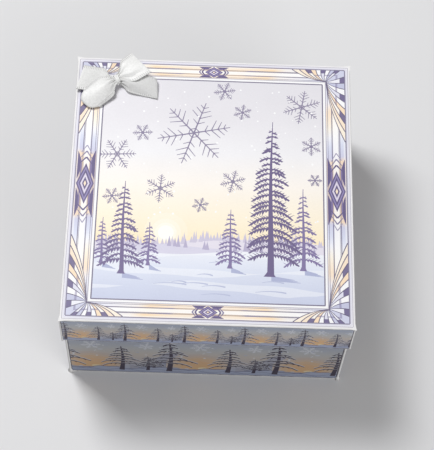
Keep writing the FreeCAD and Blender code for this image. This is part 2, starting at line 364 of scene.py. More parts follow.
def picture(panel):
    """A winter dusk: a low sun, far hills, firs and snow crystals over drifts of snow."""
    rng = panel.rng
    half, top = PICTURE
    evening(panel)
    far_woods(panel)
    drifts(panel)
    for x, y, radius, turn in CRYSTALS:
        crystal(panel, x, y, radius, turn, 0.34 + 0.016 * radius, (138, 130, 158))
    for _ in range(90):
        x, y = rng.uniform(-half + 2, half - 2), rng.uniform(HORIZON + 8, top - 2)
        panel.fill(circle(x, y, rng.uniform(0.16, 0.42), 8), (252, 252, 253))
    for x, foot, tall in SHADOWS:
        for k in range(3):
            y = foot - 0.4 - 0.5 * k
            panel.stroke([(x + 0.5, y), (x + 0.16 * tall + k, y - 0.9)], 0.9, 0.2, (176, 182, 213))
    for x, foot, height, spread, ink, tiers, weight in FIRS:
        fir(panel, x, foot, height, spread, mix(MAUVE, INK, ink), tiers, weight)
    for inset, width, paint in ((0.22, 0.46, LINE), (-0.28, 0.6, WHITE),
                                (-0.9, 0.28, (176, 172, 186))):
        x, y = half - inset, top - inset
        panel.closed([(-x, -y), (x, -y), (x, y), (-x, y)], width, paint)


# The lid's border

FIELD_OUT = (46.9, 49.4)
FIELD_IN = (40.2, 44.5)
SIDE_FIELD = [(0, (206, 190, 190)), (0.15, (224, 203, 192)), (0.25, (243, 218, 194)),
              (0.27, (204, 204, 228)), (0.38, (214, 219, 240)), (0.47, (242, 243, 250)),
              (0.56, (253, 244, 228)), (0.7, (251, 226, 198)), (0.8, (238, 238, 247)),
              (1, (208, 211, 232))]
END_FIELD = [(0, (248, 236, 222)), (0.3, (250, 230, 206)), (0.46, (251, 222, 184)),
             (0.56, (246, 240, 236)), (0.8, (238, 238, 247)), (1, (208, 211, 232))]
FIELD_LINE = [(0, (186, 164, 150)), (0.24, (188, 166, 150)), (0.28, (128, 124, 158)),
              (0.5, (140, 134, 150)), (1, (120, 114, 142))]
INDIGO = (104, 94, 136)


def border_point(side, t, d):
    """A place in the border: t from -1 to 1 along one side, d from 0 outside to 1 inside."""
    x, y = (out + (into - out) * d for out, into in zip(FIELD_OUT, FIELD_IN))
    return [(x, t * y), (-t * x, y), (-x, -t * y), (t * x, -y)][side]


def border_along(side, x, y):
    """How far along its side a place in the border is, from 0 at the middle to 1."""
    if side in (0, 2):
        d = (FIELD_OUT[0] - abs(x)) / (FIELD_OUT[0] - FIELD_IN[0])
        return abs(y) / (FIELD_OUT[1] + (FIELD_IN[1] - FIELD_OUT[1]) * d)
    d = (FIELD_OUT[1] - abs(y)) / (FIELD_OUT[1] - FIELD_IN[1])
    return abs(x) / (FIELD_OUT[0] + (FIELD_IN[0] - FIELD_OUT[0]) * d)


def border(panel):
    """A mitred frame: mouldings along each side, blades at the corners and a middle ornament."""
    for inset, width, paint in ((-1.28, 0.28, (190, 187, 198)), (-0.7, 0.62, (225, 224, 236)),
                                (-0.16, 0.46, (134, 129, 154))):
        x, y = (size - inset for size in FIELD_OUT)
        panel.closed([(-x, -y), (x, -y), (x, y), (-x, y)], width, paint)

    depths = (0, 0.1, 0.3, 0.36, 0.5, 0.64, 0.72, 1)
    whites = (0.5, 0.05, 0.4, 0.85, 0.8, 0.4, 0.1)
    steps = 56
    for side in range(4):
        field = SIDE_FIELD if side in (0, 2) else END_FIELD
        for row, (d0, d1) in enumerate(zip(depths, depths[1:])):

            def ground(x, y, s=side, white=whites[row], stops=field):
                return mix(shade(stops, border_along(s, x, y)), (254, 253, 252), white)

            for i in range(steps):
                t0, t1 = -1 + 2 * i / steps, -1 + 2 * (i + 1) / steps
                panel.fill([border_point(side, t0, d0), border_point(side, t1, d0),
                            border_point(side, t1, d1), border_point(side, t0, d1)], ground)

        def line(x, y, s=side):
            return shade(FIELD_LINE, border_along(s, x, y))

        for d, width in ((0.3, 0.34), (0.36, 0.14), (0.7, 0.36), (0.92, 0.18)):
            panel.stroke([border_point(side, -1 + 2 * i / 24, d) for i in range(25)],
                         width, width, line)
        for lean in (-1, 1):
            corner_blades(panel, side, lean)
        middle_ornament(panel, side)


def corner_blades(panel, side, lean):
    """Long pointed shapes that fan out along one side from the frame's inner corner."""
    root = border_point(side, lean, 1)
    first = 0.4 if side in (0, 2) else 0.6
    tones = ((252, 241, 224), (250, 231, 208), (253, 248, 240), (251, 226, 196), (250, 250, 252),
             (226, 226, 240), (250, 250, 252), (200, 202, 226), (240, 240, 248), (210, 212, 233))
    edges = [first + (1 - first) * (k / len(tones)) ** 0.85 for k in range(len(tones) + 1)]
    for k, paint in enumerate(tones):
        a = border_point(side, lean * edges[k], 0)
        b = border_point(side, lean * edges[k + 1], 0)
        bend_a = border_point(side, lean * (edges[k] * 0.5 + 0.5), 0.82 - 0.02 * k)
        bend_b = border_point(side, lean * (edges[k + 1] * 0.5 + 0.5), 0.8 - 0.02 * k)
        near, far = arc(root, bend_a, a, 10), arc(b, bend_b, root, 10)
        panel.fill(near + far[:-1], paint)
        if k in (2, 5, 8):
            panel.fill(near[8:] + far[:3], mix(INDIGO, paint, 0.12))
        elif k > 2:
            panel.fill(near[6:8] + far[3:5], mix(INDIGO, paint, 0.62))
        panel.stroke(near, 0.14, 0.34, (108, 101, 128))


def middle_ornament(panel, side):
    """Nested lozenges at the middle of a side, between leaves and chevrons."""
    long_side = side in (0, 2)
    reach = 0.17 if long_side else 0.075
    for lean in (-1, 1):
        for d0, d1, far, paint in ((0.97, 0.5, 1.75, INDIGO), (0.05, 0.42, 1.55, INDIGO),
                                   (0.8, 0.6, 1.35, MAUVE), (0.2, 0.36, 1.25, MAUVE)):
            start = border_point(side, lean * reach * 0.2, d0)
            tip = border_point(side, lean * reach * far, d0)
            leaf = arc(start, border_point(side, lean * reach * 0.9, d1), tip, 8)
            panel.fill(leaf, paint)
        for k in range(3 if long_side else 2):
            t = reach * (1.3 + 0.3 * k)
            tip = border_point(side, lean * t, 0.5)
            back = lean * (t - reach * 0.4)
            for d in (0.12 + 0.05 * k, 0.88 - 0.05 * k):
                panel.stroke([tip, border_point(side, back, d)], 0.62 - 0.12 * k, 0.2,
                             mix(INDIGO, PALE, 0.22 * k))
    for share, paint in ((1.0, INDIGO), (0.84, (150, 140, 186)), (0.7, INDIGO),
                         (0.52, (222, 214, 232)), (0.32, INDIGO), (0.15, (250, 232, 206))):
        t, d = reach * share, 0.46 * share
        panel.fill([border_point(side, -t, 0.5), border_point(side, 0, 0.5 - d),
                    border_point(side, t, 0.5), border_point(side, 0, 0.5 + d)], paint)


# The walls' print

# The walls' colours, and those of their small picture, are darker than the lid's picture; much of
# that is painted shade for walls that face away from the lamp above.
WALL = [(0, (172, 180, 204)), (0.14, (180, 186, 206)), (0.3, (196, 188, 190)),
        (0.48, (206, 197, 190)), (0.64, (194, 196, 200)), (0.82, (174, 182, 202)),
        (1, (184, 191, 206))]
WALL_INK = (60, 50, 72)
# The dark line round the walls' print; along the lid's lower rim it is painted shade
WALL_BORDER_AND_SHADE_LINE = (78, 72, 90)
WALL_BANDS = 14

# The small picture: its height to its width, the width it is drawn at, and its random seed
TILE_SHAPE = 0.94
TILE_WIDTH = 37.6
TILE_SEED = 11
GLOW = ((-8.6, 5.2), (-2, 4.4), (7.6, 4.4), (8.8, 8.6), (6.4, 13.2), (0, 15.4), (-5.4, 14.2),
        (-8.6, 10.4))
TILE_FIRS = ((-10.6, 27, 12.0, 1.2), (10.2, 22, 10.0, 1.05), (21.4, 12, 6.0, 0.75),
             (-18.2, 13, 5.4, 0.75))


def wall_print(panel, left, right, low, width):
    """The walls' pattern: one small winter picture, printed again and again along them."""
    tall = width * TILE_SHAPE
    top = max(y for _, y in panel.outline)
    for i in range(int((top - low) / tall * WALL_BANDS) + 1):
        foot = low + tall * i / WALL_BANDS
        head = foot + tall / WALL_BANDS

        def ground(x, y, row=i // WALL_BANDS):
            return shade(WALL, min(max((y - low) / tall - row, 0), 1))

        panel.fill([(left - 1, foot), (right + 1, foot), (right + 1, head), (left - 1, head)],
                   ground)
    for row in range(int((top - low) / tall) + 1):
        for number in range(math.floor(left / width), math.ceil(right / width) + 1):
            tile(panel, (number + row * 0.5) * width, low + row * tall, width)
    # A dark line round each wall's print. Along the lid's lower rim it is painted shade: the shadow
    # line under the lid's skirt.
    panel.closed([(left + 0.1, low + 0.2), (right - 0.1, low + 0.2), (right - 0.1, top),
                  (left + 0.1, top)], 0.4, WALL_BORDER_AND_SHADE_LINE)


def tile(panel, x, y, width):
    """One small picture: an orange evening between dark firs, with hills and snow below."""
    panel.rng = rng = random.Random(TILE_SEED)
    unit = width / TILE_WIDTH

    def at(u, v):
        return x + u * unit, y + v * unit

    def blob(points, paint):
        panel.fill([at(*p) for p in points], paint)

    far = [at(u, 7 + 13 * math.exp(-((u - 27.5) / 6.2) ** 2)) for u in range(13, 43)]
    panel.fill(far + [at(42, 3), at(13, 3)], (172, 173, 190))
    near = [at(u, 6 + 9.5 * math.exp(-((u - 29) / 5.0) ** 2)) for u in range(16, 42)]
    panel.fill(near + [at(41, 3), at(16, 3)], (156, 161, 184))
    for grow, paint in ((1.36, (204, 191, 184)), (1.18, (213, 192, 174)), (1.0, (221, 190, 159)),
                        (0.74, (227, 187, 147)), (0.42, (230, 189, 144))):
        blob([(u * grow, 5.0 + (v - 5.0) * grow) for u, v in GLOW], paint)
    blob([(1.2 + 1.7 * math.cos(a), 5.6 + 1.0 * math.sin(a)) for a in np.linspace(0, 5.7, 11)],
         (249, 229, 186))
    for _ in range(40):
        u, v = rng.uniform(-19, 19), rng.choice((rng.uniform(0, 5), rng.uniform(19, 35)))
        size = rng.uniform(0.4, 1.5)
        paint = mix((136, 146, 182), (216, 221, 232), rng.random())
        blob([(u + size * 1.4 * math.cos(a), v + size * 0.7 * math.sin(a))
              for a in np.linspace(0, 5, 5)], paint)
    drift = [at(u, 4.4 + math.sin(u * 0.33) + 0.4 * math.sin(u * 0.9))
             for u in np.linspace(-19, 19, 30)]
    panel.fill(drift + [at(19, -0.5), at(-19, -0.5)], (178, 187, 213))
    panel.stroke(drift, 0.4 * unit, 0.4 * unit, (108, 108, 138))
    for level, swing, paint in ((2.6, 0.8, (134, 139, 170)), (1.2, 0.6, (146, 151, 180))):
        lower = [at(u, level + swing * math.sin(u * 0.5 + level)) for u in np.linspace(-19, 19, 24)]
        panel.stroke(lower, 0.35 * unit, 0.35 * unit, paint)
    for u, tall, spread, weight in TILE_FIRS:
        dark_fir(panel, *at(u, 3.4), tall * unit, spread * unit, weight * unit)
    for u, v, size, turn in ((0.0, 25, 3.6, 8), (-18.6, 24.5, 2.8, 20)):
        crystal(panel, *at(u, v), size * unit, turn, 0.5 * unit, (222, 225, 234))
    for _ in range(22):
        u, v = rng.uniform(-19, 19), rng.uniform(14, 35)
        panel.fill(circle(*at(u, v), rng.uniform(0.25, 0.5) * unit, 6), (224, 228, 236))


def dark_fir(panel, x, foot, height, spread, weight):
    """A dark fir of ragged, drooping boughs with snow lying along them."""
    rng = panel.rng
    trunk = [(x + 0.6 * weight * math.sin(3 * f), foot - 1.2 * weight + height * f)
             for f in (0, 0.25, 0.5, 0.75, 1)]
    panel.stroke(trunk, 1.8 * weight, 0.4 * weight, WALL_INK)
    tiers = 7
    for tier in range(tiers):
        for side in (-1, 1):
            f = 0.22 + 0.74 * (tier + rng.uniform(-0.25, 0.25)) / tiers
            reach = spread * (1.06 - f) * rng.uniform(0.72, 1.15)
            root = (x, foot + height * f)
            tip = (x + side * reach, root[1] - reach * rng.uniform(0.2, 0.45))
            bend = (x + side * reach * 0.5, root[1] + 0.24 * reach)
            line = arc(root, bend, tip, 4)
            panel.stroke([(a, b + 0.4 * weight) for a, b in line], 0.3 * weight, 0.5 * weight,
                         (222, 226, 236))
            panel.stroke(line, 0.72 * weight, 0.34 * weight, WALL_INK)
            for k in (1, 2, 3):
                size = weight * rng.uniform(0.8, 1.9)
                end = (line[k][0] + side * size * rng.uniform(0.3, 0.9),
                       line[k][1] - size * rng.uniform(0.5, 0.9))
                panel.stroke([line[k], end], 0.5 * weight, 0.2 * weight, WALL_INK)


# Materials


class Look:
    """A material under construction, with short calls for its nodes."""

    def __init__(self, name):
        self.material = bpy.data.materials.new(name)
        self.material.use_nodes = True
        self.nodes = self.material.node_tree.nodes
        self.links = self.material.node_tree.links
        self.shader = self.nodes["Principled BSDF"]

    def node(self, kind, numbers=None, **settings):
        """A new node with the numbers at its inputs and its settings."""
        made = self.nodes.new(kind)
        for key, value in settings.items():
            setattr(made, key, value)
        for key, value in (numbers or {}).items():
            made.inputs[key].default_value = value
        return made

    def feed(self, value, slot):
        """A link from a socket to a slot, or a plain value put there."""
        if hasattr(value, "links"):
            self.links.new(value, slot)
        else:
            slot.default_value = value

    def set(self, **values):
        """The shader's inputs, each a socket or a plain value."""
        for key, value in values.items():
            self.feed(value, self.shader.inputs[key.replace("_", " ")])

    def coordinates(self, scale):
        """Places on the piece in metres, times a scale along each axis."""
        where = self.node("ShaderNodeTexCoord")
        turn = self.node("ShaderNodeMapping", {"Scale": scale})
        self.feed(where.outputs["Object"], turn.inputs["Vector"])
        return turn.outputs["Vector"]

    def noise(self, where, scale, detail=4, roughness=0.55):
        """Soft random numbers about 0.5."""
        made = self.node("ShaderNodeTexNoise",
                         {"Scale": scale, "Detail": detail, "Roughness": roughness})
        self.feed(where, made.inputs["Vector"])
        return made.outputs["Fac"]

    def range(self, value, low, high, to_low, to_high):
        """A value taken from one range to another, and held at its ends."""
        made = self.node("ShaderNodeMapRange", {"From Min": low, "From Max": high,
                                                "To Min": to_low, "To Max": to_high})
        self.feed(value, made.inputs["Value"])
        return made.outputs["Result"]

    def math(self, operation, first, second=0):
        """One step of arithmetic on sockets or numbers."""
        made = self.node("ShaderNodeMath", operation=operation)
        for slot, value in zip(made.inputs, (first, second)):
            self.feed(value, slot)
        return made.outputs[0]

    def wave(self, value, length):
        """A sine whose waves are a length long."""
        return self.math("SINE", self.math("MULTIPLY", value, 2 * math.pi / length))

    def blend(self, share, first, second, kind="MIX"):
        """Two colours mixed. The share and the colours are sockets or plain values."""
        made = self.node("ShaderNodeMix", data_type="RGBA", blend_type=kind)
        slots = [slot for slot in made.inputs if slot.enabled]
        for slot, value in zip(slots, (share, first, second)):
            self.feed((*value, 1) if isinstance(value, (list, tuple)) else value, slot)
        return next(slot for slot in made.outputs if slot.enabled)

    def bump(self, height, strength, distance, after=None):
        """A bump, on top of an earlier one if there is one."""
        made = self.node("ShaderNodeBump", {"Strength": strength, "Distance": distance})
        self.feed(height, made.inputs["Height"])
        if after is not None:
            self.feed(after, made.inputs["Normal"])
        return made.outputs["Normal"]


def card_look():
    """White uncoated card: short fibres, a faint cloudiness and a soft tooth."""
    look = Look("white_card")
    place = look.coordinates((1, 1, 1))
    cloud = look.noise(place, 120, 3)
    fibres = look.noise(look.coordinates((2600, 700, 2600)), 1, 5, 0.65)
    tone = look.blend(look.range(cloud, 0.3, 0.7, 0, 1), linear((231, 230, 231)),
                      linear((241, 240, 239)))
    tone = look.blend(look.range(fibres, 0.62, 0.74, 0, 0.35), tone, linear((216, 214, 214)))
    look.set(Base_Color=tone, Roughness=look.range(fibres, 0.3, 0.7, 0.66, 0.8),
             Normal=look.bump(fibres, 0.35, 0.00004), Specular_IOR_Level=0.35)
    return look.material


def print_look():
    """Ink on card: the panel's colours, a little mottled, with the card's fibres under them."""
    look = Look("printed_card")
    ink = look.node("ShaderNodeAttribute", attribute_name="print", attribute_type="GEOMETRY")
    place = look.coordinates((1, 1, 1))
    mottle = look.noise(place, 1500, 4, 0.6)
    cloud = look.noise(place, 90, 3)
    fibres = look.noise(look.coordinates((900, 3200, 3200)), 1, 5, 0.65)
    light = look.math("MULTIPLY", look.range(mottle, 0.3, 0.7, 0.965, 1.0),
                      look.range(cloud, 0.3, 0.7, 0.975, 1.0))
    grey = look.node("ShaderNodeCombineColor")
    for slot in grey.inputs[:3]:
        look.feed(light, slot)
    tone = look.blend(1.0, ink.outputs["Color"], grey.outputs["Color"], "MULTIPLY")
    look.set(Base_Color=tone, Roughness=look.range(fibres, 0.3, 0.7, 0.42, 0.56),
             Normal=look.bump(fibres, 0.22, 0.00003), Specular_IOR_Level=0.4)
    return look.material


def satin_look():
    """White single-face satin: a face of fine threads, a duller back, looped edges. Its colours
    hold painted sheen and shade: a greyer back, dark hollows between the edge loops and a grey
    outermost edge.
    """
    look = Look("white_satin")
    place = look.node("ShaderNodeUVMap", uv_map="ribbon")
    parts = look.node("ShaderNodeSeparateXYZ")
    look.feed(place.outputs["UV"], parts.inputs["Vector"])
    along, across = parts.outputs["X"], parts.outputs["Y"]
    weft = look.wave(along, 0.24)
    warp = look.wave(across, 0.16)
    loops = look.wave(along, 0.66)
    out = look.math("ABSOLUTE", across)
    edge = look.math("MULTIPLY", look.range(out, 3.75, 4.0, 0, 1),
                     look.range(out, 4.62, 4.78, 1, 0))
    weave = look.math("MULTIPLY", weft, look.range(warp, -1, 1, 0.35, 1))
    raised = look.math("MULTIPLY", loops, edge)
    thread = look.range(look.noise(look.coordinates((1, 1, 1)), 2200, 4, 0.6), 0.3, 0.7, 0, 1)
    fleck = look.noise(look.coordinates((1, 1, 1)), 1500, 3, 0.6)
    reverse = look.node("ShaderNodeAttribute", attribute_name="reverse").outputs["Fac"]
    # The back is painted greyer than the face: painted sheen on the face and painted shade on the
    # back, which shows on top of the right loop.
    face = look.blend(thread, linear((238, 238, 237)), linear((250, 250, 249)))
    back = look.blend(thread, linear((212, 212, 212)), linear((226, 226, 226)))
    tone = look.blend(reverse, face, back)
    tone = look.blend(look.range(fleck, 0.35, 0.6, 0.36, 0), tone, linear((210, 210, 208)))
    # Painted shade in the hollows between the raised edge loops.
    tone = look.blend(look.range(raised, -1, 0.4, 0.75, 0), tone, linear((188, 188, 187)))
    # Painted shade: a grey line along the ribbon's outermost edge, standing in for the shade where
    # one part of the bow lies on another.
    tone = look.blend(look.range(out, 4.78, 4.84, 0, 0.6), tone, linear((170, 170, 170)))
    rough = look.math("ADD", look.range(weave, -1, 1, 0.36, 0.48),
                      look.math("MULTIPLY", reverse, 0.1))
    normal = look.bump(raised, 0.7, 0.00008, look.bump(weave, 0.25, 0.00003))
    look.set(Base_Color=tone, Roughness=rough, Normal=normal, Specular_IOR_Level=0.4,
             Anisotropic=0.3)
    return look.material


# The bow, from its left cut end to its right one

RIBBON_WIDTH = 10.0
RIBBON_SHEET = 0.16
KNOT_TURN = 25.0
KNOT_FOOT = Vector((-34.6, 41.4, LID_TOP))
KNOT_WIDTH = 1.5
GATHER_WIDTH = 2.6
GATHER_REACH = 4.2
HELD = 0.85
LAYERS = (0.69, 1.55, 2.42)
STEP = 0.28
COLUMNS = 45
LOOP_TURNS = 14
EASING = 14
KNOT_ROUND = 10.6
EDGE_LIFT = 0.25

# The cut ends and the loops, in millimetres and degrees from the lid's right edge
LEFT_TAIL = {"turn": 176.6, "reach": 13.2, "rise": 1.4, "tilt": 0.1, "bend": 2.2, "slant": 1.7,
             "layer": 0, "side": -90}
RIGHT_TAIL = {"turn": 35, "reach": 10.4, "rise": 4.3, "tilt": 0.6, "bend": 0.8, "slant": 2.1,
              "layer": 2, "side": 90}
RIGHT_LOOP = {"turn": -11.5, "reach": 15.0, "width": 7.3, "low": 0.25, "end": 1.2,
              "open_side": 0.5, "crown": (1.3, 0.62), "twist": 9, "round_end": 0.2,
              "lean": 0.45, "pinch": (2.6, -0.2), "layers": (0, 1), "side": 90}
LEFT_LOOP = {"turn": 223.5, "reach": 15.0, "width": 8.3, "low": 0.65, "end": 1.3,
             "open_side": 0.55, "crown": (2.0, 0.72), "twist": 5, "round_end": 3.8,
             "lean": -0.1, "pinch": (2.9, 1.3), "layers": (1, 2), "side": -90}


def spot(turn, along, height, across, width, v):
    """A point of the ribbon, v of the way from its middle to an edge, narrower near the knot."""
    spread = float(smooth((along - HELD) / GATHER_REACH))
    start = KNOT_TURN + 90
    bend = math.radians(start + (across - start) * spread)
    half = (GATHER_WIDTH + (width - GATHER_WIDTH) * spread) / 2 * v
    way = math.radians(turn)
    return (math.cos(way) * along + math.cos(bend) * half,
            math.sin(way) * along + math.sin(bend) * half, height)


def tail(v, turn, reach, rise, tilt, bend, slant, layer, side):
    """One lengthwise line of a cut end, from the knot outwards.

    It reaches its rise late for a large bend. The slant makes one edge longer than the other.
    """
    count = int(reach / STEP)
    start = LAYERS[layer]
    points = []
    for i in range(1, count + 1):
        share = i / count
        along = HELD + (reach - HELD) * share - slant / 2 * v * float(smooth(share))
        height = start + (rise + tilt * v - start) * share ** bend
        points.append(spot(turn, along, height, turn + side, RIBBON_WIDTH, v))
    return points


def loop(v, turn, reach, width, low, end, open_side, crown, twist, round_end, lean, pinch, layers,
         side):
    """One lengthwise line of a loop: out along the lid, round the far end and back on top.

    Towards its edges the loop is shorter by round_end and flatter by pinch, so its end is round
    and its sides close. Its end is taller on one side by open_side. The crown says how high the
    top swells and where.
    """
    edge = abs(v) ** 1.8
    low += 0.5 * open_side * v
    close = (pinch[0] if v < 0 else pinch[1]) * edge
    count = int((reach - HELD) / STEP)
    radius = end / 2 * (1 + open_side * v)
    straight = reach - round_end * abs(v) ** 3.4 - lean * v - radius
    start, finish = (LAYERS[n] for n in layers)

    def place(along, height):
        across = turn + side + twist * along / reach
        return spot(turn, along, height, across, width, v)

    out, back, turns = [], [], []
    for i in range(1, count + 1):
        f = i / count
        along = HELD + (straight - HELD) * f
        below = start + (low - start) * float(smooth(f))
        out.append(place(along, below))
        swell = math.sin(math.pi * f ** crown[1])
        height = finish + (low + 2 * radius - finish) * f + (crown[0] - close) * swell
        back.append(place(along, max(height, below + EDGE_LIFT)))
    for i in range(1, LOOP_TURNS):
        angle = math.radians(-90 + 180 * i / LOOP_TURNS)
        turns.append(place(straight + radius * math.cos(angle),
                           low + radius * (1 + math.sin(angle))))
    return out + turns + back[::-1]


def held(v, layer, forward):
    """The line's straight run through the knot on one layer."""
    turns = (KNOT_TURN + 180, KNOT_TURN) if forward else (KNOT_TURN, KNOT_TURN + 180)
    stops = ((turns[0], HELD), (turns[0], 0), (turns[1], HELD))
    return [spot(turn, along, LAYERS[layer], KNOT_TURN + 90, GATHER_WIDTH, v)
            for turn, along in stops]


def ribbon_line(v):
    """One line along the whole ribbon, and where each of its parts starts and ends."""
    run, marks = [], {}

    def add(name, points):
        marks[name] = (len(run), len(run) + len(points))
        run.extend(points)

    add("left_tail", tail(v, **LEFT_TAIL)[::-1])
    add("knot_low", held(v, 0, True))
    add("right_loop", loop(v, **RIGHT_LOOP))
    add("knot_middle", held(v, 1, False))
    add("left_loop", loop(v, **LEFT_LOOP))
    add("knot_high", held(v, 2, True))
    add("right_tail", tail(v, **RIGHT_TAIL))
    return run, marks


# Each crease: part, place across at the knot and at its end, depth, reach and breadth
CREASES = (
    ("right_tail", -0.3, -0.6, -0.9, 9.5, 0.15), ("right_tail", -0.05, -0.35, 0.5, 9.0, 0.2),
    ("right_tail", -0.85, -0.9, -0.5, 5.0, 0.14), ("right_tail", 0.5, 0.5, 0.25, 6.0, 0.2),
    ("left_loop", 0.15, -0.15, 0.45, 8.0, 0.25), ("left_loop", -0.35, -0.7, -0.35, 7.0, 0.2),
    ("right_loop", -0.1, -0.3, 0.5, 9.0, 0.2), ("right_loop", 0.35, 0.5, -0.3, 6.0, 0.2),
    ("left_tail", 0.1, 0.3, 0.35, 7.0, 0.22),
)


def ribbon_surface():
    """The ribbon's middle surface as a grid of points, and the length along it."""
    v = np.linspace(-1, 1, COLUMNS)
    lines = [ribbon_line(x) for x in v]
    marks = lines[0][1]
    grid = np.array([line[0] for line in lines]).transpose(1, 0, 2)
    for _ in range(EASING):
        grid[1:-1] = (grid[:-2] + 2 * grid[1:-1] + grid[2:]) / 4
    middle = grid[:, COLUMNS // 2]
    length = np.concatenate([[0], np.cumsum(np.linalg.norm(np.diff(middle, axis=0), axis=1))])
    away = np.linalg.norm(middle[:, :2], axis=1)
    gathered = 1 - smooth((away - HELD) / 6.0)
    pleat = np.cos(4 * math.pi * v[None, :] + 0.8 * np.sin(length / 7)[:, None])
    height = 0.24 * gathered[:, None] * pleat
    height += (0.07 * smooth((away - HELD) / 4)[:, None]
               * np.sin(length[:, None] / 2.3 + 2.4 * v[None, :]))
    for name, near, far, depth, reach, breadth in CREASES:
        rows = np.arange(*marks[name])
        fade = np.clip(1 - away[rows] / reach, 0, 1) ** 0.8 * smooth(away[rows] / 2.2)
        line = near + (far - near) * away[rows] / reach
        width = breadth * (0.6 + 0.7 * away[rows] / reach)
        ridge = np.exp(-((v[None, :] - line[:, None]) / width[:, None]) ** 2)
        height[rows] += depth * fade[:, None] * ridge
    outward = np.ones(len(grid))
    outward[slice(*marks["right_loop"])] = -1
    grid = grid + unit_normals(grid) * (height * outward[:, None])[:, :, None]
    return grid, v, length


def unit_normals(grid):
    """The directions square to a surface given as a grid of points."""
    normal = np.cross(np.gradient(grid, axis=0), np.gradient(grid, axis=1))
    return normal / np.maximum(np.linalg.norm(normal, axis=2), 1e-9)[:, :, None]


def strip_mesh(name, upper, lower, along, across, closed):
    """A thin solid between two grids of points, with its lengths along and across as UVs."""
    rows, columns = upper.shape[:2]
    count = rows * columns
    verts = np.concatenate([upper.reshape(-1, 3), lower.reshape(-1, 3)])
    faces = []
    spans = rows if closed else rows - 1
    for i in range(spans):
        here, then = i * columns, (i + 1) % rows * columns
        for j in range(columns - 1):
            faces.append([here + j, then + j, then + j + 1, here + j + 1])
            faces.append([count + c for c in (here + j, here + j + 1, then + j + 1, then + j)])
        last = columns - 1
        faces.append([here, count + here, count + then, then])
        faces.append([here + last, then + last, count + then + last, count + here + last])
    if not closed:
        last = (rows - 1) * columns
        for j in range(columns - 1):
            faces.append([j, j + 1, count + j + 1, count + j])
            faces.append([last + j, count + last + j, count + last + j + 1, last + j + 1])
    mesh = bpy.data.meshes.new(name)
    mesh.from_pydata([tuple(p) for p in verts], [], faces)
    reverse = mesh.attributes.new("reverse", "FLOAT", "POINT")
    reverse.data.foreach_set("value", [0.0] * count + [1.0] * count)
    layer = mesh.uv_layers.new(name="ribbon")
    for face in mesh.polygons:
        face.use_smooth = True
        places = [divmod(mesh.loops[corner].vertex_index % count, columns)
                  for corner in face.loop_indices]
        seam = closed and {0, rows - 1} <= {row for row, _ in places}
        for corner, (row, column) in zip(face.loop_indices, places):
            far = along[-1] + along[1] if seam and row == 0 else along[row]
            layer.data[corner].uv = (far, across[column])
    return mesh


def ribbon_piece(material):
    """The bow's ribbon as a thin closed strip, pleated where the knot gathers it."""
    grid, v, length = ribbon_surface()
    normal = unit_normals(grid)
    thick = RIBBON_SHEET / 2 * (1 + 0.8 * smooth((np.abs(v) - 0.88) / 0.08))[None, :, None]
    foot = np.array(KNOT_FOOT)
    sides = []
    for sign in (1, -1):
        side = grid + sign * normal * thick
        side[:, :, 2] = np.maximum(side[:, :, 2], 0.06 + 0.03 * sign)
        sides.append((side + foot) * MM)
    mesh = strip_mesh("satin_ribbon", *sides, length, v * RIBBON_WIDTH / 2, False)
    return add_piece("satin_ribbon", mesh, "lid", material), length[-1] * MM


def knot_piece(material):
    """The narrow turn of ribbon round the gathered middle, with its own small folds."""
    rounds, columns = 96, 17
    high = LAYERS[2] + LAYERS[0]
    outer, inner = np.zeros((rounds, columns, 3)), np.zeros((rounds, columns, 3))
    w = np.linspace(-1, 1, columns)
    for i in range(rounds):
        turn = 2 * math.pi * i / rounds
        c, s = math.cos(turn), math.sin(turn)
        squash = (abs(c) ** 3 + abs(s) ** 3) ** (-1 / 3)
        fold = 0.09 * np.cos(2.5 * math.pi * w + 0.6 * math.sin(2 * turn)) + 0.14 * (1 - w * w)
        wide = KNOT_WIDTH / 2 * (1 + 0.12 * s + 0.06 * math.sin(3 * turn))
        for grid, out in ((outer, fold - 0.05), (inner, fold * 0 - 0.3)):
            grid[i, :, 0] = w * wide + 0.06 * math.sin(2 * turn)
            grid[i, :, 1] = (GATHER_WIDTH / 2 + 0.35 + out) * c * squash
            grid[i, :, 2] = np.maximum(high / 2 + (high / 2 + out) * s * squash, 0.02)
    turned = np.array(Matrix.Rotation(math.radians(KNOT_TURN), 3, "Z"))
    foot = np.array(KNOT_FOOT)
    sides = [((grid @ turned.T) + foot) * MM for grid in (outer, inner)]
    along = np.arange(rounds) * KNOT_ROUND / rounds
    mesh = strip_mesh("satin_knot", *sides, along, w * RIBBON_WIDTH / 2, True)
    return add_piece("satin_knot", mesh, "lid", material)


# The stage


FLOOR_RADIUS = 4.0

# The camera fitted to the box's corners in the photograph: millimetres, metres and a rotation
CAMERA_LENS = 117.563
CAMERA_PLACE = (-0.007054, -0.240152, 0.495323)
CAMERA_TURN = ((0.9992973, -0.0324470, -0.0187654), (0.0205255, 0.8926065, -0.4503691),
               (0.0313632, 0.4496675, 0.8926452))


def ring_faces(first, rings, corners):
    """The faces between rings of corners that follow one another from a first corner."""
    faces = []
    for i in range(rings - 1):
        here, then = first + i * corners, first + (i + 1) * corners
        for k in range(corners):
            after = (k + 1) % corners
            faces.append([here + k, here + after, then + after, then + k])
    return faces


